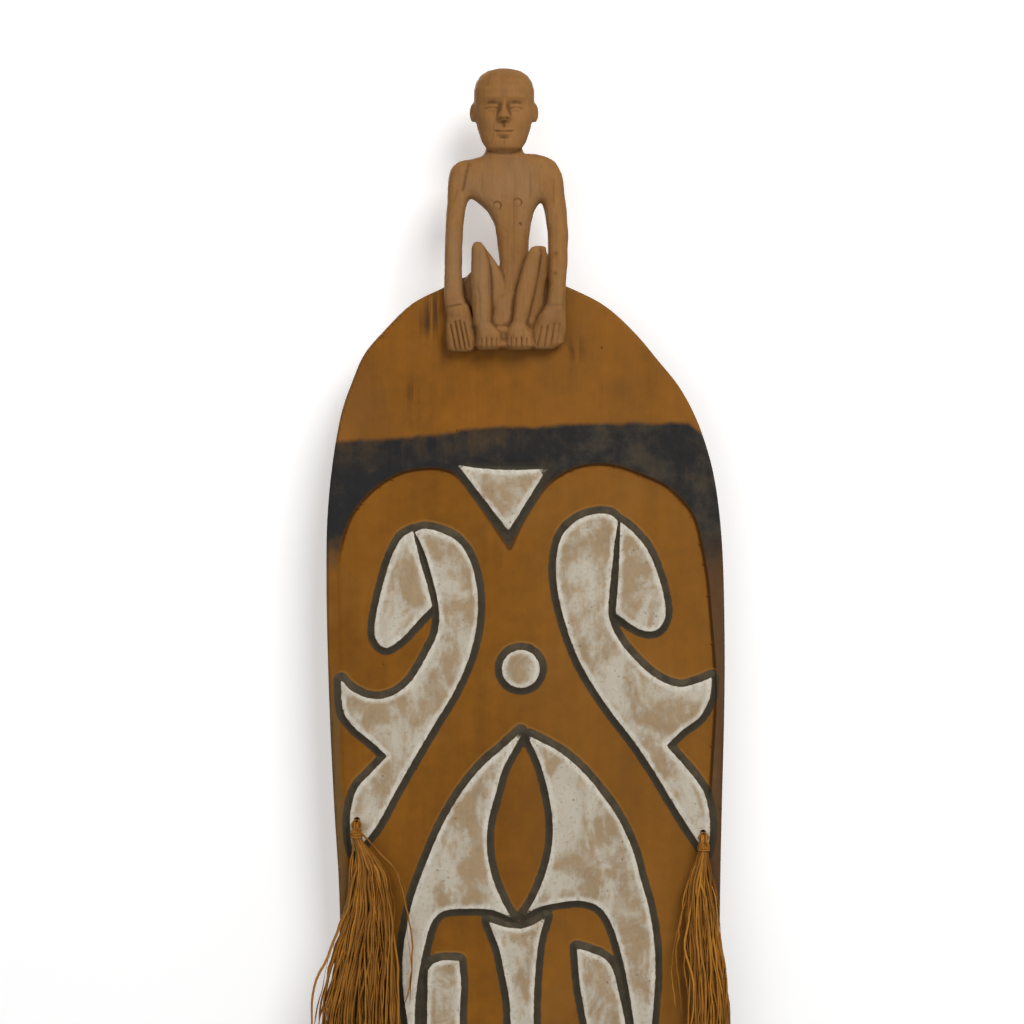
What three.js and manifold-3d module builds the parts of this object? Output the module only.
// A tall carved shield of the Asmat kind: one painted plank with a grip left standing on its back,
// a squatting finial figure pegged over its top edge, and a fibre tassel tied through each side.
//
// Millimetres, +Z up. The carved face looks along -Y and +X is to a viewer's right. The origin is
// the middle of the grip's flat rear face. "Out" is a distance forward of that face, so y = -out.

import * as THREE from 'three';
import { mergeVertices } from 'three/addons/utils/BufferGeometryUtils.js';
import Module from 'manifold-3d';

const wasm = await Module();
wasm.setup();

// The plank

const BOARD_WIDTH = 398;
const BOARD_LENGTH = 1430;
const BOARD_THICKNESS = 24;
const FOOT_TO_GRIP = 700;
const EDGE_EASE = 3;

// The carved ornament: a sunk ground with raised shapes, the same above and below its middle line

const HEAD_PANEL = 193;
const FOOT_PANEL = 83;
const RELIEF_DEPTH = 4.5;
const RELIEF_SLOPE = 6;
const RELIEF_ROOT = 3;
const NAVEL_RADIUS = 19;
const NAVEL_SHARE = [-0.003, 0.643];

// The grip, one wood with the plank

const GRIP_STANDOFF = 45;
const GRIP_LENGTH = 150;
const GRIP_FLARE = 28;
const GRIP_TOP_WIDTH = 38;
const GRIP_LOW_WIDTH = 26;
const GRIP_SWELL_WIDTH = 40;
const GRIP_SWELL_DROP = 22;
const GRIP_BAR_DEPTH = 20;
const GRIP_EASE = 4;
const FINGER_GAP_LENGTH = 118;
const FINGER_GAP_CORNER = 12;

// The finial figure

const FIGURE_WIDTH = 122;
const FIGURE_HEIGHT = 284;
const FIGURE_LAP = 82;
const FIGURE_OFFSET = -16;
const FIGURE_EASE = 3;
const FEET_PROUD = 28;
const LEG_PROUD = 30;
const HAND_PROUD = 19;
const ARM_PROUD = 18;
const TRUNK_PROUD = 16;
const SEAT_PROUD = 8;
const BODY_SETBACK = 14;
const NECK_RADIUS = 14;
const HEAD_WIDTH = 62;
const HEAD_HEIGHT = 87;
const HEAD_DEPTH = 52;
const HEAD_OFFSET = -2;
const HEAD_PROUD = 27;
const HEAD_EASE = 11;
const FACE_CUT_DEPTH = 3;
const NOSE_PROUD = 7;
const EAR_RADIUS = 9;
const EAR_PROUD = 4;

// The pegs that hold the figure, driven from behind

const PEG_RADIUS = 5;
const PEG_BITE = 11;
const PEG_PROUD = 1;

// The tassels and what ties them

const TIE_RADIUS = 1.2;
const TIE_SPREAD = 1.6;
const LOOP_HALF_WIDTH = 4.4;
const LOOP_DROP = 6.5;
const LOOP_OUT = 7.8;
const LOOP_BEND = 1.9;
const STOP_KNOT_RADIUS = 4.2;
const STOP_KNOT_CORD = 1.7;
const STOP_KNOT_CORE_RADIUS = 2.6;
const NECK_OF_FIBRE_RADIUS = 4.4;
const FOLD_RADIUS = 3.7;
const FOLD_WIDTH = 4;
const BINDING_RADIUS = 0.85;
const BINDING_PITCH = 2.3;
const BINDING_TURNS = 3.5;
const STRAND_RADIUS = 1.1;
const LEFT_TASSEL_LENGTH = 330;
const RIGHT_TASSEL_LENGTH = 320;

// Fits and the tool's own steps

const CLEARANCE = 0.3;
const MOVING_CLEARANCE = 0.4;
const OVERRUN = 5;
const SPAN_STEPS = 2;
const ROUND_SIDES = 12;
const CORD_SIDES = 6;
const BINDING_SIDES = 6;
const TURN_STEPS = 24;
const LOOP_STEPS = 36;
const LOCK_SIDES = 3;
const LOCK_STEPS = 4;
const LOCK_SHUFFLE = 0.618;

// Levels forward of the origin

const BOARD_BACK = GRIP_STANDOFF;
const BOARD_FACE = GRIP_STANDOFF + BOARD_THICKNESS;
const GROUND = BOARD_FACE - RELIEF_DEPTH;

const BOARD_FOOT = -FOOT_TO_GRIP;
const BOARD_TOP = BOARD_FOOT + BOARD_LENGTH;
const ORNAMENT_HALF = (BOARD_LENGTH - HEAD_PANEL - FOOT_PANEL) / 2;
const ORNAMENT_MIDDLE = BOARD_FOOT + FOOT_PANEL + ORNAMENT_HALF;

const OCHRE = new THREE.Color().setRGB(0.52, 0.33, 0.12, THREE.SRGBColorSpace);
const BARE_WOOD = new THREE.Color().setRGB(0.57, 0.41, 0.25, THREE.SRGBColorSpace);
const FIBRE = new THREE.Color().setRGB(0.53, 0.37, 0.14, THREE.SRGBColorSpace);

// Outlines, seen from the front. Each is a list of runs: a run is a smooth curve through its points
// from the end of the run before it, and a corner stands where two runs meet.
// The plank's points are shares of its width, and of its length from the foot.

const BOARD_SHARES = [
  [[-0.048, 1.000]],
  [[0.033, 0.997], [0.126, 0.987], [0.209, 0.975], [0.281, 0.957], [0.342, 0.937],
    [0.394, 0.919], [0.432, 0.900], [0.460, 0.880], [0.482, 0.857], [0.497, 0.829],
    [0.506, 0.794], [0.510, 0.741], [0.509, 0.692], [0.504, 0.636], [0.499, 0.573],
    [0.497, 0.510], [0.499, 0.441], [0.505, 0.350], [0.510, 0.252], [0.508, 0.154],
    [0.490, 0.077], [0.447, 0.031], [0.364, 0.006], [0.246, 0.000]],
  [[-0.231, 0.000]],
  [[-0.344, 0.006], [-0.432, 0.031], [-0.477, 0.077], [-0.492, 0.154], [-0.495, 0.252],
    [-0.485, 0.350], [-0.467, 0.427], [-0.457, 0.503], [-0.460, 0.566], [-0.472, 0.622],
    [-0.482, 0.678], [-0.489, 0.734], [-0.492, 0.783], [-0.490, 0.825], [-0.477, 0.864],
    [-0.455, 0.899], [-0.427, 0.922], [-0.397, 0.941], [-0.349, 0.957], [-0.279, 0.976],
    [-0.204, 0.987], [-0.126, 0.997], [-0.048, 1.000]],
];
const FIELD_SHARES = [
  [[-0.430, 0.000]],
  [[-0.430, 0.139], [-0.435, 0.260], [-0.445, 0.364], [-0.454, 0.468], [-0.459, 0.589],
    [-0.462, 0.728], [-0.464, 0.823], [-0.452, 0.870], [-0.432, 0.908], [-0.399, 0.939],
    [-0.357, 0.965], [-0.307, 0.984], [-0.251, 0.992], [-0.198, 0.991], [-0.156, 0.976],
    [-0.116, 0.941], [-0.070, 0.894], [-0.031, 0.853]],
  [[-0.005, 0.893], [0.028, 0.932], [0.065, 0.965], [0.111, 0.987], [0.158, 0.998],
    [0.209, 1.000], [0.259, 0.993], [0.309, 0.980], [0.359, 0.964], [0.402, 0.939],
    [0.437, 0.905], [0.455, 0.858], [0.470, 0.797], [0.479, 0.728], [0.487, 0.659],
    [0.490, 0.589], [0.482, 0.485], [0.474, 0.399], [0.469, 0.295], [0.467, 0.139],
    [0.467, 0.000]],
];

// The ornament's points are shares of the plank's width, and of half the ornament's height up from
// its middle line. Those that start on the middle line go on below it as their own mirror image.

const LEFT_HOOK_SHARES = [
  [[-0.269, 0.880]],
  [[-0.246, 0.886], [-0.204, 0.880], [-0.161, 0.863], [-0.131, 0.832], [-0.113, 0.783],
    [-0.113, 0.724], [-0.131, 0.667], [-0.168, 0.607], [-0.219, 0.548], [-0.269, 0.490],
    [-0.322, 0.425], [-0.369, 0.367], [-0.422, 0.324]],
  [[-0.431, 0.350], [-0.431, 0.395], [-0.415, 0.435], [-0.379, 0.463], [-0.339, 0.492]],
  [[-0.377, 0.516], [-0.422, 0.542], [-0.450, 0.572], [-0.455, 0.624]],
  [[-0.427, 0.605], [-0.382, 0.592], [-0.332, 0.595], [-0.281, 0.620], [-0.239, 0.667],
    [-0.211, 0.711], [-0.211, 0.757], [-0.229, 0.808], [-0.246, 0.847], [-0.269, 0.880]],
];
const RIGHT_HOOK_SHARES = [
  [[0.242, 0.899]],
  [[0.219, 0.911], [0.178, 0.911], [0.133, 0.898], [0.098, 0.870], [0.085, 0.825],
    [0.090, 0.776], [0.108, 0.724], [0.136, 0.669], [0.176, 0.617], [0.231, 0.562],
    [0.286, 0.513], [0.334, 0.463], [0.384, 0.406], [0.427, 0.359], [0.462, 0.324]],
  [[0.472, 0.354], [0.470, 0.395], [0.455, 0.432], [0.417, 0.468], [0.363, 0.510]],
  [[0.402, 0.536], [0.447, 0.560], [0.472, 0.593], [0.477, 0.629]],
  [[0.447, 0.620], [0.394, 0.612], [0.337, 0.627], [0.284, 0.659], [0.244, 0.693],
    [0.219, 0.731], [0.219, 0.768], [0.226, 0.818], [0.234, 0.867], [0.242, 0.899]],
];
const LEFT_DROP_SHARES = [
  [[-0.274, 0.882]],
  [[-0.302, 0.870], [-0.327, 0.839], [-0.347, 0.795], [-0.367, 0.737], [-0.369, 0.698],
    [-0.342, 0.679], [-0.299, 0.698], [-0.259, 0.728], [-0.225, 0.752]],
  [[-0.236, 0.783], [-0.254, 0.825], [-0.264, 0.853], [-0.274, 0.882]],
];
const RIGHT_DROP_SHARES = [
  [[0.247, 0.898]],
  [[0.279, 0.880], [0.314, 0.851], [0.342, 0.806], [0.359, 0.759], [0.358, 0.728],
    [0.334, 0.709], [0.291, 0.713], [0.235, 0.740]],
  [[0.240, 0.780], [0.244, 0.832], [0.247, 0.898]],
];
const LEFT_WING_SHARES = [
  [[-0.268, 0.000]],
  [[-0.269, 0.052], [-0.261, 0.107], [-0.247, 0.156], [-0.227, 0.203], [-0.193, 0.224],
    [-0.131, 0.227], [-0.075, 0.225], [-0.026, 0.211]],
  [[-0.052, 0.243], [-0.077, 0.288], [-0.088, 0.336], [-0.084, 0.381], [-0.068, 0.421],
    [-0.050, 0.466], [-0.028, 0.496], [-0.003, 0.527]],
  [[-0.003, 0.534]],
  [[-0.043, 0.508], [-0.101, 0.473], [-0.156, 0.425], [-0.204, 0.367], [-0.239, 0.310],
    [-0.269, 0.255], [-0.289, 0.199], [-0.300, 0.142], [-0.299, 0.087], [-0.288, 0.031],
    [-0.284, 0.000]],
];
const RIGHT_WING_SHARES = [
  [[0.286, 0.000]],
  [[0.279, 0.038], [0.266, 0.095], [0.249, 0.149], [0.226, 0.198], [0.196, 0.229],
    [0.148, 0.241], [0.088, 0.237], [0.040, 0.229], [0.009, 0.217]],
  [[0.035, 0.248], [0.060, 0.291], [0.075, 0.336], [0.076, 0.385], [0.063, 0.437],
    [0.043, 0.484], [0.020, 0.518]],
  [[0.018, 0.527]],
  [[0.058, 0.513], [0.101, 0.496], [0.151, 0.466], [0.201, 0.425], [0.244, 0.381],
    [0.278, 0.329], [0.299, 0.277], [0.320, 0.225], [0.333, 0.165], [0.335, 0.104],
    [0.328, 0.038], [0.324, 0.000]],
];
const STALK_SHARES = [
  [[-0.028, 0.000]],
  [[-0.031, 0.064], [-0.046, 0.121], [-0.058, 0.159], [-0.084, 0.205]],
  [[-0.045, 0.196], [-0.004, 0.192]],
  [[0.030, 0.200], [0.060, 0.214]],
  [[0.043, 0.173], [0.035, 0.128], [0.030, 0.069], [0.030, 0.000]],
];
const LEFT_BAR_SHARES = [
  [[-0.239, 0.000]],
  [[-0.237, 0.121]],
  [[-0.221, 0.133], [-0.193, 0.138], [-0.158, 0.137]],
  [[-0.153, 0.095], [-0.156, 0.049], [-0.157, 0.000]],
];
const RIGHT_BAR_SHARES = [
  [[0.171, 0.000]],
  [[0.156, 0.052], [0.144, 0.104], [0.138, 0.159]],
  [[0.176, 0.151], [0.211, 0.139], [0.231, 0.116], [0.246, 0.073], [0.259, 0.031],
    [0.263, 0.000]],
];

// The figure's points are shares of its width, and of its height from its lowest edge.

const TRUNK_SHARES = [
  [[-0.180, 0.690]],
  [[-0.295, 0.683], [-0.385, 0.662], [-0.451, 0.620], [-0.467, 0.535]],
  [[-0.279, 0.542]],
  [[-0.213, 0.525], [-0.148, 0.493], [-0.098, 0.454], [-0.074, 0.394], [-0.053, 0.317],
    [-0.045, 0.236], [-0.016, 0.085]],
  [[0.066, 0.106]],
  [[0.139, 0.211], [0.180, 0.317], [0.189, 0.394], [0.201, 0.465], [0.238, 0.514],
    [0.283, 0.533]],
  [[0.475, 0.528]],
  [[0.467, 0.613], [0.410, 0.676], [0.320, 0.699], [0.189, 0.708]],
];
const LEFT_ARM_SHARES = [
  [[-0.467, 0.634]],
  [[-0.484, 0.553], [-0.496, 0.430], [-0.504, 0.306], [-0.508, 0.183], [-0.484, 0.134]],
  [[-0.295, 0.141]],
  [[-0.344, 0.197], [-0.361, 0.289], [-0.352, 0.423], [-0.328, 0.500], [-0.279, 0.542]],
  [[-0.295, 0.620]],
];
const RIGHT_ARM_SHARES = [
  [[0.451, 0.641]],
  [[0.484, 0.585], [0.500, 0.493], [0.512, 0.394], [0.492, 0.271], [0.484, 0.141]],
  [[0.328, 0.155]],
  [[0.348, 0.254], [0.344, 0.373], [0.332, 0.458], [0.307, 0.507], [0.283, 0.533]],
  [[0.303, 0.620]],
];
const LEFT_HAND_SHARES = [
  [[-0.492, 0.176]],
  [[-0.496, 0.095], [-0.475, 0.000]],
  [[-0.369, -0.004], [-0.254, 0.007]],
  [[-0.242, 0.077], [-0.279, 0.155]],
];
const RIGHT_HAND_SHARES = [
  [[0.344, 0.176]],
  [[0.262, 0.127], [0.205, 0.070]],
  [[0.193, 0.011]],
  [[0.303, 0.007]],
  [[0.475, 0.028]],
  [[0.500, 0.106], [0.484, 0.176]],
];
const LEFT_LEG_SHARES = [
  [[-0.254, 0.092]],
  [[-0.279, 0.183], [-0.291, 0.271], [-0.275, 0.359], [-0.225, 0.391], [-0.172, 0.373],
    [-0.123, 0.324], [-0.066, 0.278]],
  [[-0.090, 0.183], [-0.123, 0.092]],
];
const RIGHT_SHIN_SHARES = [
  [[0.049, 0.092]],
  [[0.074, 0.183], [0.115, 0.271], [0.148, 0.317], [0.189, 0.352], [0.246, 0.368],
    [0.287, 0.352], [0.262, 0.303], [0.238, 0.218], [0.205, 0.155], [0.164, 0.092]],
];
const RIGHT_THIGH_SHARES = [
  [[0.131, 0.183]],
  [[0.156, 0.296], [0.197, 0.356], [0.279, 0.373], [0.361, 0.370]],
  [[0.361, 0.176]],
];
const FEET_SHARES = [
  [[-0.254, 0.099]],
  [[0.246, 0.106]],
  [[0.246, 0.018]],
  [[-0.008, 0.011], [-0.254, 0.014]],
];
const SEAT_SHARES = [
  [[-0.361, 0.275]],
  [[0.352, 0.282]],
  [[0.344, 0.077]],
  [[-0.295, 0.077]],
];

// The head is a plain one of ordinary proportions: shares of its width, and of its height from the chin.

const HEAD_SHARES = [
  [[0.000, 0.000]],
  [[0.200, 0.010], [0.340, 0.110], [0.430, 0.300], [0.480, 0.520], [0.490, 0.720], [0.410, 0.900],
    [0.220, 0.985], [0.000, 1.000]],
];
const NOSE_SHARES = [[-0.050, 0.580], [0.050, 0.580], [0.120, 0.370], [-0.120, 0.370]];
const EYE_SHARES = [[0.110, 0.540], [0.200, 0.575], [0.340, 0.560], [0.370, 0.510], [0.230, 0.475]];
const MOUTH_SHARES = [[-0.190, 0.235], [0.000, 0.250], [0.190, 0.235], [0.000, 0.215]];
const EAR_HEIGHT_SHARE = 0.480;
const NECK_SHARE = [-0.066, 0.690];

// Places: pegs as shares of the figure, tassel holes as shares of the ornament

const PEG_SHARES = {
  left_figure_peg: [-0.377, 0.106],
  right_figure_peg: [0.336, 0.106],
  middle_figure_peg: [-0.008, 0.183],
};
const LEFT_HOLE_SHARE = [-0.415, 0.381];
const RIGHT_HOLE_SHARE = [0.455, 0.359];
const LOOP_LEAVE_SHARE = [0.75, 0.15];
const LOOP_HANG_SHARE = 0.55;

// A tassel's shape down its length: drop, sideways shift and half width as shares of its length,
// and its half depth as a share of the same.

const LEFT_TASSEL_SHARES = [
  [0.140, 0.034, 0.034, 0.024],
  [0.240, 0.042, 0.068, 0.028],
  [0.550, 0.008, 0.122, 0.036],
  [1.000, -0.004, 0.134, 0.036],
];
const RIGHT_TASSEL_SHARES = [
  [0.140, -0.012, 0.034, 0.024],
  [0.240, -0.010, 0.052, 0.026],
  [0.550, 0.014, 0.070, 0.030],
  [1.000, 0.020, 0.090, 0.033],
];
const LOCK_RING_COUNTS = [1, 6, 12, 18];
const LOCK_RING_SHARE = 0.65;
const LOCK_ROOT_SHARE = 0.13;
const LOCK_UNEVEN_SHARE = 0.12;

// Moves a drawing from its own plane into the shield's: facing forward, or facing sideways

const FACING_FRONT = new THREE.Matrix4().makeBasis(
  new THREE.Vector3(1, 0, 0),
  new THREE.Vector3(0, 0, 1),
  new THREE.Vector3(0, -1, 0),
);
const FACING_SIDE = new THREE.Matrix4().makeBasis(
  new THREE.Vector3(0, 1, 0),
  new THREE.Vector3(0, 0, 1),
  new THREE.Vector3(1, 0, 0),
);

function solid(geometry) {
  geometry.deleteAttribute('normal');
  geometry.deleteAttribute('uv');
  const merged = mergeVertices(geometry);
  const mesh = new wasm.Mesh({
    numProp: 3,
    vertProperties: merged.attributes.position.array,
    triVerts: Uint32Array.from(merged.index.array),
  });
  return new wasm.Manifold(mesh);
}

function geometryOf(manifold) {
  const mesh = manifold.getMesh();
  const geometry = new THREE.BufferGeometry();
  geometry.setAttribute('position', new THREE.BufferAttribute(mesh.vertProperties, 3));
  geometry.setIndex(new THREE.BufferAttribute(mesh.triVerts, 1));
  geometry.computeVertexNormals();
  return geometry;
}

function named(name, geometry, color, roughness) {
  const mesh = new THREE.Mesh(geometry, new THREE.MeshStandardMaterial({ color, roughness, metalness: 0 }));
  mesh.name = name;
  return mesh;
}

// Turns a table of runs into points
function outline(runs, width, height) {
  const points = [];
  for (const run of runs) {
    const stops = run.map(([x, z]) => new THREE.Vector2(x * width, z * height));
    if (points.length > 0) {
      stops.unshift(points.pop());
    }
    const curved = stops.length > 2;
    const drawn = curved ? new THREE.SplineCurve(stops).getPoints((stops.length - 1) * SPAN_STEPS) : stops;
    points.push(...drawn);
  }
  const closes = points[0].distanceTo(points.at(-1)) < CLEARANCE;
  return closes ? points.slice(0, -1) : points;
}

// A drawing above the ornament's middle line, continued below it as its mirror image
function mirroredAcross(points) {
  const below = points.slice(1, -1).reverse().map((point) => new THREE.Vector2(point.x, -point.y));
  return [...points, ...below];
}

function flippedBelow(points) {
  return points.map((point) => new THREE.Vector2(point.x, -point.y)).reverse();
}

function mirroredSideways(points) {
  return points.map((point) => new THREE.Vector2(-point.x, point.y)).reverse();
}

// Cuts a front outline out of the wood from one level to another. Its two faces stand `inset` outside
// the outline, and its sides widen by `slope` within `drop` of each face.
function carve(points, back, front, drop, slope, inset = 0) {
  const geometry = new THREE.ExtrudeGeometry(new THREE.Shape(points), {
    depth: front - back - 2 * drop,
    bevelThickness: drop,
    bevelSize: slope,
    bevelOffset: inset,
    bevelSegments: 1,
  });
  geometry.translate(0, 0, back + drop);
  return solid(geometry.applyMatrix4(FACING_FRONT));
}

function roundBar(radius, back, front, x, z) {
  const geometry = new THREE.CylinderGeometry(radius, radius, front - back, ROUND_SIDES);
  geometry.translate(x, -(back + front) / 2, z);
  return solid(geometry);
}

function place([x, z], width, height) {
  return new THREE.Vector2(x * width, z * height);
}

const boardOutline = outline(BOARD_SHARES, BOARD_WIDTH, BOARD_LENGTH);
const raised = (runs) => outline(runs, BOARD_WIDTH, ORNAMENT_HALF);

const figureOrigin = new THREE.Vector3(FIGURE_OFFSET, 0, BOARD_TOP - FIGURE_LAP);
const pegPlaces = Object.entries(PEG_SHARES).map(([name, share]) => {
  const local = place(share, FIGURE_WIDTH, FIGURE_HEIGHT);
  return { name, local, x: local.x + figureOrigin.x, z: local.y + figureOrigin.z };
});

const leftHole = place(LEFT_HOLE_SHARE, BOARD_WIDTH, ORNAMENT_HALF);
const rightHole = place(RIGHT_HOLE_SHARE, BOARD_WIDTH, ORNAMENT_HALF);
const HOLE_RADIUS = TIE_SPREAD + TIE_RADIUS + MOVING_CLEARANCE;

// The grip: a flared bridge seen from the side, trimmed to a swelling bar seen from behind
function grip() {
  const half = GRIP_LENGTH / 2;
  const flared = half + GRIP_FLARE;
  const gap = FINGER_GAP_LENGTH / 2;
  const root = -(BOARD_BACK + RELIEF_ROOT);
  const side = [
    [0, -half],
    [root, -flared],
    [root, -gap],
    [FINGER_GAP_CORNER - BOARD_BACK, -gap],
    [-GRIP_BAR_DEPTH, FINGER_GAP_CORNER - gap],
    [-GRIP_BAR_DEPTH, gap - FINGER_GAP_CORNER],
    [FINGER_GAP_CORNER - BOARD_BACK, gap],
    [root, gap],
    [root, flared],
    [0, half],
  ].map(([y, z]) => new THREE.Vector2(y, z));
  const bridge = new THREE.ExtrudeGeometry(new THREE.Shape(side), {
    depth: GRIP_SWELL_WIDTH,
    bevelEnabled: false,
  });
  bridge.translate(0, 0, -GRIP_SWELL_WIDTH / 2);
  const top = GRIP_TOP_WIDTH / 2;
  const low = GRIP_LOW_WIDTH / 2;
  const swell = GRIP_SWELL_WIDTH / 2;
  const bar = [
    [-top, flared],
    [-swell, -GRIP_SWELL_DROP],
    [-low, -flared],
    [low, -flared],
    [swell, -GRIP_SWELL_DROP],
    [top, flared],
  ].map(([x, z]) => new THREE.Vector2(x, z));
  const trimmed = carve(bar, 0, -root + OVERRUN, GRIP_EASE, GRIP_EASE, -GRIP_EASE);
  return solid(bridge.applyMatrix4(FACING_SIDE)).intersect(trimmed);
}

function board() {
  const blank = carve(boardOutline.map((point) => new THREE.Vector2(point.x, point.y + BOARD_FOOT)),
    BOARD_BACK, BOARD_FACE, EDGE_EASE, EDGE_EASE, -EDGE_EASE);
  const field = carve(mirroredAcross(raised(FIELD_SHARES)),
    GROUND, BOARD_FACE + RELIEF_DEPTH + OVERRUN, RELIEF_DEPTH, RELIEF_SLOPE, -RELIEF_SLOPE);
  const navel = new THREE.Path().absarc(
    NAVEL_SHARE[0] * BOARD_WIDTH, NAVEL_SHARE[1] * ORNAMENT_HALF, NAVEL_RADIUS, 0, 2 * Math.PI);
  const single = [LEFT_HOOK_SHARES, RIGHT_HOOK_SHARES, LEFT_DROP_SHARES, RIGHT_DROP_SHARES].map(raised);
  single.push(navel.getPoints(2 * ROUND_SIDES).slice(0, -1));
  const whole = [LEFT_WING_SHARES, RIGHT_WING_SHARES, STALK_SHARES, LEFT_BAR_SHARES, RIGHT_BAR_SHARES];
  const shapes = [
    ...single,
    ...single.map(flippedBelow),
    ...whole.map((runs) => mirroredAcross(raised(runs))),
  ];
  const root = GROUND - RELIEF_DEPTH - RELIEF_ROOT;
  const plateaus = shapes.map((points) => carve(points, root, BOARD_FACE, RELIEF_DEPTH, RELIEF_SLOPE));
  const lift = (piece) => piece.translate([0, 0, ORNAMENT_MIDDLE]);
  let wood = blank.subtract(lift(field));
  for (const plateau of plateaus) {
    wood = wood.add(lift(plateau));
  }
  wood = wood.add(grip());
  const behind = BOARD_BACK - OVERRUN;
  const ahead = BOARD_FACE + OVERRUN;
  for (const hole of [leftHole, rightHole]) {
    wood = wood.subtract(lift(roundBar(HOLE_RADIUS, behind, ahead, hole.x, hole.y)));
  }
  for (const peg of pegPlaces) {
    wood = wood.subtract(roundBar(PEG_RADIUS + CLEARANCE, behind, ahead, peg.x, peg.z));
  }
  return geometryOf(wood);
}

// The figure, in its own frame: its lowest edge at z = 0 and its middle at x = 0
function head() {
  const low = FIGURE_HEIGHT - HEAD_HEIGHT;
  const back = BOARD_FACE + HEAD_PROUD - HEAD_DEPTH;
  const front = BOARD_FACE + HEAD_PROUD;
  const shaped = (points) => points.map((point) => new THREE.Vector2(point.x + HEAD_OFFSET, point.y + low));
  const drawn = (shares) => shaped(shares.map((share) => place(share, HEAD_WIDTH, HEAD_HEIGHT)));
  const half = outline(HEAD_SHARES, HEAD_WIDTH, HEAD_HEIGHT);
  const round = shaped([...half, ...mirroredSideways(half).slice(1, -1)]);
  const cut = (points) => carve(points, front - FACE_CUT_DEPTH, front + OVERRUN, FACE_CUT_DEPTH / 2, 0);
  const eye = drawn(EYE_SHARES);
  const otherEye = drawn(EYE_SHARES.map(([x, z]) => [-x, z]).reverse());
  const tip = front + NOSE_PROUD;
  const nose = carve(drawn(NOSE_SHARES), front - NOSE_PROUD, tip, NOSE_PROUD / 2, NOSE_PROUD / 3);
  const middle = (back + front) / 2;
  const ears = new THREE.CylinderGeometry(EAR_RADIUS, EAR_RADIUS, HEAD_WIDTH + EAR_PROUD, ROUND_SIDES)
    .scale(1, 1, 1 / 2)
    .rotateZ(Math.PI / 2)
    .rotateX(Math.PI / 2)
    .translate(HEAD_OFFSET, -middle, low + EAR_HEIGHT_SHARE * HEAD_HEIGHT);
  const base = place(NECK_SHARE, FIGURE_WIDTH, FIGURE_HEIGHT);
  const neck = new THREE.CylinderGeometry(NECK_RADIUS, NECK_RADIUS, HEAD_HEIGHT / 2, ROUND_SIDES)
    .rotateX(Math.PI / 2)
    .translate(base.x, -BOARD_FACE, base.y);
  return carve(round, back, front, HEAD_EASE, HEAD_EASE, -HEAD_EASE)
    .subtract(cut(eye))
    .subtract(cut(otherEye))
    .subtract(cut(drawn(MOUTH_SHARES)))
    .add(nose)
    .add(solid(ears))
    .add(solid(neck));
}

function figure() {
  const pieces = [
    [TRUNK_SHARES, -BODY_SETBACK, TRUNK_PROUD],
    [LEFT_ARM_SHARES, -BODY_SETBACK / 2, ARM_PROUD],
    [RIGHT_ARM_SHARES, -BODY_SETBACK / 2, ARM_PROUD],
    [LEFT_HAND_SHARES, 0, HAND_PROUD],
    [RIGHT_HAND_SHARES, 0, HAND_PROUD],
    [LEFT_LEG_SHARES, -BODY_SETBACK / 2, LEG_PROUD],
    [RIGHT_SHIN_SHARES, -BODY_SETBACK / 2, LEG_PROUD],
    [RIGHT_THIGH_SHARES, -BODY_SETBACK / 2, TRUNK_PROUD],
    [FEET_SHARES, 0, FEET_PROUD],
    [SEAT_SHARES, -BODY_SETBACK, SEAT_PROUD],
  ];
  let wood = head();
  for (const [shares, back, front] of pieces) {
    const points = outline(shares, FIGURE_WIDTH, FIGURE_HEIGHT);
    const rear = BOARD_FACE + back;
    wood = wood.add(carve(points, rear, BOARD_FACE + front, FIGURE_EASE, FIGURE_EASE, -FIGURE_EASE));
  }
  return wood;
}

// The figure is notched to sit over the plank's top edge, and bored from behind for its pegs
function finialFigure() {
  const shift = new THREE.Vector2(-figureOrigin.x, BOARD_FOOT - figureOrigin.z);
  const plank = boardOutline.map((point) => point.clone().add(shift));
  const behind = BOARD_BACK - OVERRUN;
  let wood = figure().subtract(carve(plank, behind, BOARD_FACE + CLEARANCE, CLEARANCE, 0, CLEARANCE));
  const bottom = BOARD_FACE + PEG_BITE + CLEARANCE;
  for (const { local } of pegPlaces) {
    wood = wood.subtract(roundBar(PEG_RADIUS + CLEARANCE, behind, bottom, local.x, local.y));
  }
  return geometryOf(wood);
}

// A cord along a curve, closed at both ends
function cord(extrudePath, radius, sides, steps) {
  const section = new THREE.EllipseCurve(0, 0, radius, radius).getPoints(sides).slice(0, -1);
  return new THREE.ExtrudeGeometry(new THREE.Shape(section), { steps, extrudePath, bevelEnabled: false });
}

// Everything on a tassel is drawn about its hole, on the plank's face: x right, y back, z up

const LOOP_AXIS = new THREE.Vector3(0, -LOOP_OUT, -LOOP_DROP);

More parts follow.
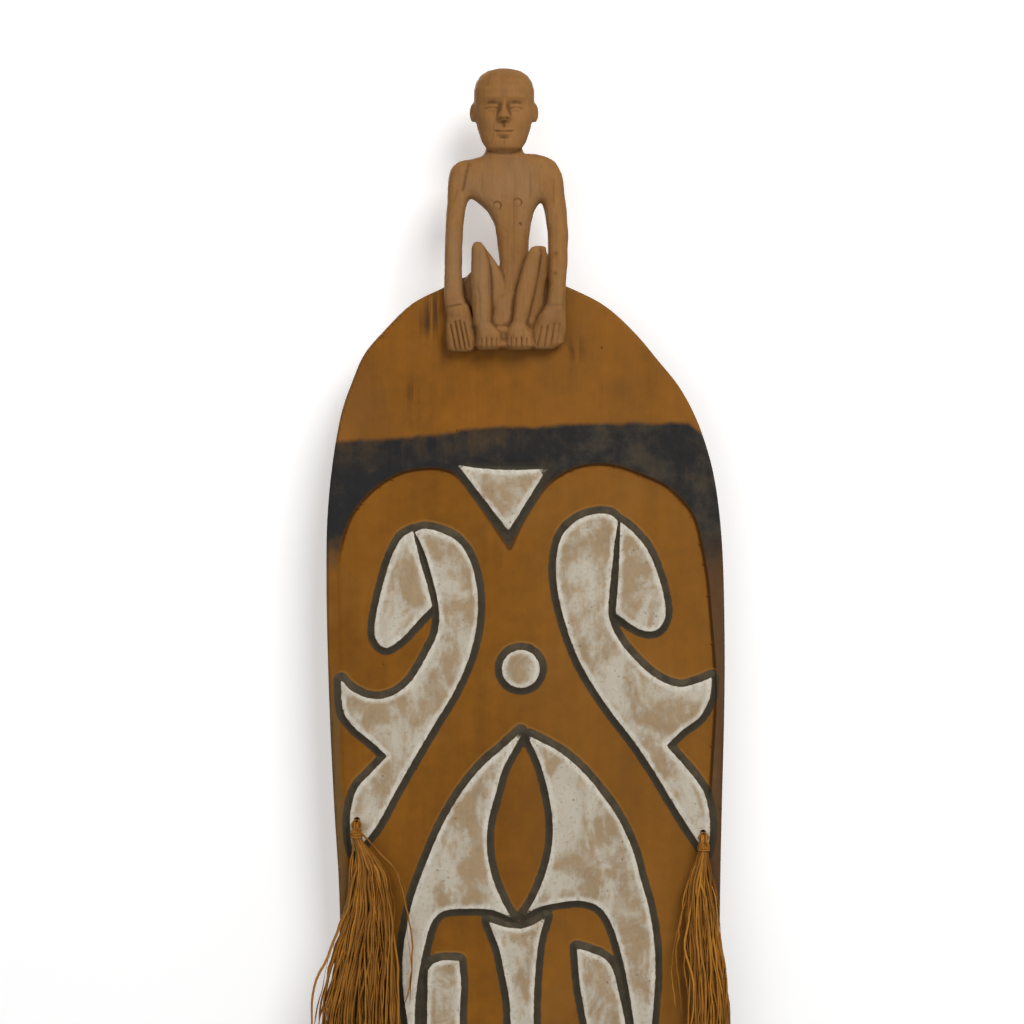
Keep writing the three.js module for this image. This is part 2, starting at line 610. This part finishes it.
function tieCord() {
  const knotOut = BOARD_THICKNESS + CLEARANCE + STOP_KNOT_CORD;
  const half = [
    [TIE_SPREAD, knotOut, 0],
    [TIE_SPREAD, BOARD_THICKNESS / 2, 0],
    [TIE_SPREAD, 0, 0],
    [(TIE_SPREAD + LOOP_HALF_WIDTH) / 2, -LOOP_OUT * LOOP_LEAVE_SHARE[0], -LOOP_DROP * LOOP_LEAVE_SHARE[1]],
    [LOOP_HALF_WIDTH, -LOOP_OUT, -LOOP_DROP * LOOP_HANG_SHARE],
    [LOOP_HALF_WIDTH - LOOP_BEND / 3, -LOOP_OUT, -LOOP_DROP + LOOP_BEND / 3],
    [LOOP_HALF_WIDTH - LOOP_BEND, -LOOP_OUT, -LOOP_DROP],
    [(LOOP_HALF_WIDTH - LOOP_BEND) / 2, -LOOP_OUT, -LOOP_DROP],
  ].map(([x, y, z]) => new THREE.Vector3(x, y, z));
  const across = half.map((point) => new THREE.Vector3(-point.x, point.y, point.z)).reverse();
  const route = new THREE.CatmullRomCurve3([...half, LOOP_AXIS, ...across]);
  const loop = solid(cord(route, TIE_RADIUS, CORD_SIDES, LOOP_STEPS));
  const turnRadius = STOP_KNOT_RADIUS - STOP_KNOT_CORD;
  const turn = new THREE.TorusGeometry(turnRadius, STOP_KNOT_CORD, CORD_SIDES, ROUND_SIDES)
    .rotateX(Math.PI / 2)
    .translate(0, knotOut, 0);
  const core = new THREE.SphereGeometry(STOP_KNOT_CORE_RADIUS, ROUND_SIDES, CORD_SIDES)
    .translate(0, knotOut + STOP_KNOT_CORD, 0);
  return geometryOf(loop.add(solid(turn)).add(solid(core)));
}

// How wide and deep a bundle is at a given drop, read between the rows of its table
function bundleAt(rows, length, drop) {
  const share = THREE.MathUtils.clamp(drop / length, rows[0][0], rows.at(-1)[0]);
  const next = Math.max(1, rows.findIndex(([at]) => at >= share));
  const above = rows[next - 1];
  const below = rows[next];
  const along = (share - above[0]) / (below[0] - above[0]);
  const between = (column) => THREE.MathUtils.lerp(above[column], below[column], along) * length;
  const [shift, half, depth] = [between(1), between(2), between(3)];
  const out = Math.max(LOOP_OUT, depth + STRAND_RADIUS + MOVING_CLEARANCE);
  return { shift, half, depth, out };
}

const NECK_TOP = LOOP_DROP + TIE_RADIUS + MOVING_CLEARANCE;
const BINDING_TOP = NECK_TOP + BINDING_RADIUS + CLEARANCE;
const NECK_BOTTOM = BINDING_TOP + BINDING_TURNS * BINDING_PITCH + BINDING_RADIUS + CLEARANCE;

// The fibres are folded over the tie cord, held in a round neck, and fall in locks that never cross
function fibres(rows, length) {
  const saddle = solid(new THREE.CylinderGeometry(FOLD_RADIUS, FOLD_RADIUS, FOLD_WIDTH, ROUND_SIDES)
    .rotateZ(Math.PI / 2).translate(0, -LOOP_OUT, -LOOP_DROP));
  const web = solid(new THREE.BoxGeometry(FOLD_WIDTH, 2 * FOLD_RADIUS, FOLD_RADIUS)
    .translate(0, -LOOP_OUT, -LOOP_DROP - FOLD_RADIUS / 2));
  const eye = solid(new THREE.CylinderGeometry(1, 1, FOLD_WIDTH + OVERRUN, ROUND_SIDES)
    .scale(TIE_RADIUS + MOVING_CLEARANCE, 1, TIE_RADIUS + MOVING_CLEARANCE)
    .rotateZ(Math.PI / 2).translate(0, -LOOP_OUT, -LOOP_DROP));
  const neckLength = NECK_BOTTOM - NECK_TOP;
  const neckRadius = NECK_OF_FIBRE_RADIUS;
  const neck = solid(new THREE.CylinderGeometry(neckRadius, neckRadius, neckLength, ROUND_SIDES)
    .rotateX(Math.PI / 2).translate(0, -LOOP_OUT, -NECK_TOP - neckLength / 2));
  const skirtBottom = rows[0][0] * length;
  const skirtLength = skirtBottom - NECK_BOTTOM;
  const foot = bundleAt(rows, length, skirtBottom);
  const lean = new THREE.Matrix4()
    .makeShear(0, 0, 0, 0, -foot.shift / skirtLength, (foot.out - LOOP_OUT) / skirtLength);
  const flattened = foot.depth / foot.half;
  const skirt = solid(new THREE.CylinderGeometry(neckRadius, foot.half, skirtLength, ROUND_SIDES)
    .scale(1, 1, flattened)
    .rotateX(Math.PI / 2).translate(0, 0, -skirtLength / 2).applyMatrix4(lean)
    .translate(0, -LOOP_OUT, -NECK_BOTTOM));
  let bundle = saddle.add(web).subtract(eye).add(neck).add(skirt);
  const outer = LOCK_RING_COUNTS.length - LOCK_RING_SHARE;
  LOCK_RING_COUNTS.forEach((count, ring) => {
    for (let k = 0; k < count; k += 1) {
      const angle = (k + ring / 2) * 2 * Math.PI / count;
      const across = Math.cos(angle) * ring / outer;
      const deep = Math.sin(angle) * ring / outer;
      const reach = 1 - LOCK_UNEVEN_SHARE * ((k * LOCK_SHUFFLE + ring / outer) % 1);
      const path = [LOCK_ROOT_SHARE, ...rows.map(([at]) => at)].map((at) => {
        const drop = length * (at === 1 ? reach : at);
        const { shift, half, depth, out } = bundleAt(rows, length, drop);
        return new THREE.Vector3(shift + across * half, -out + deep * depth, -drop);
      });
      const lock = cord(new THREE.CatmullRomCurve3(path), STRAND_RADIUS, LOCK_SIDES, LOCK_STEPS);
      bundle = bundle.add(solid(lock));
    }
  });
  return geometryOf(bundle);
}

class Winding extends THREE.Curve {
  getPoint(t, target = new THREE.Vector3()) {
    const angle = t * BINDING_TURNS * 2 * Math.PI;
    const radius = NECK_OF_FIBRE_RADIUS + CLEARANCE + BINDING_RADIUS;
    return target.set(
      radius * Math.cos(angle),
      radius * Math.sin(angle) - LOOP_OUT,
      -BINDING_TOP - t * BINDING_TURNS * BINDING_PITCH,
    );
  }
}

function binding(name) {
  const path = new Winding();
  const steps = BINDING_TURNS * TURN_STEPS;
  const points = path.getPoints(steps);
  let least = Infinity;
  points.forEach((point, k) => {
    for (const other of points.slice(k + TURN_STEPS / 2)) {
      least = Math.min(least, point.distanceTo(other));
    }
  });
  console.log(`${name}: least gap to itself ${(least - 2 * BINDING_RADIUS).toFixed(2)} mm`);
  return geometryOf(solid(cord(path, BINDING_RADIUS, BINDING_SIDES, steps)));
}

function tassel(side, hole, rows, length) {
  const group = new THREE.Group();
  group.position.set(hole.x, -BOARD_FACE, hole.y + ORNAMENT_MIDDLE);
  group.add(
    named(`${side}_tie_cord`, tieCord(), FIBRE, 0.85),
    named(`${side}_tassel_binding`, binding(`${side}_tassel_binding`), FIBRE, 0.85),
    named(`${side}_tassel_fibres`, fibres(rows, length), FIBRE, 0.8),
  );
  return group;
}

const shield = new THREE.Group();
shield.add(named('board_with_carved_grip', board(), OCHRE, 0.75));

const finial = new THREE.Group();
finial.position.copy(figureOrigin);
finial.add(named('finial_figure', finialFigure(), BARE_WOOD, 0.7));
shield.add(finial);

for (const { name, x, z } of pegPlaces) {
  const back = BOARD_BACK - PEG_PROUD;
  const length = BOARD_FACE + PEG_BITE - back;
  const peg = named(name, geometryOf(roundBar(PEG_RADIUS, -length / 2, length / 2, 0, 0)), BARE_WOOD, 0.7);
  peg.position.set(x, -back - length / 2, z);
  shield.add(peg);
}

shield.add(
  tassel('left', leftHole, LEFT_TASSEL_SHARES, LEFT_TASSEL_LENGTH),
  tassel('right', rightHole, RIGHT_TASSEL_SHARES, RIGHT_TASSEL_LENGTH),
);

export default shield;
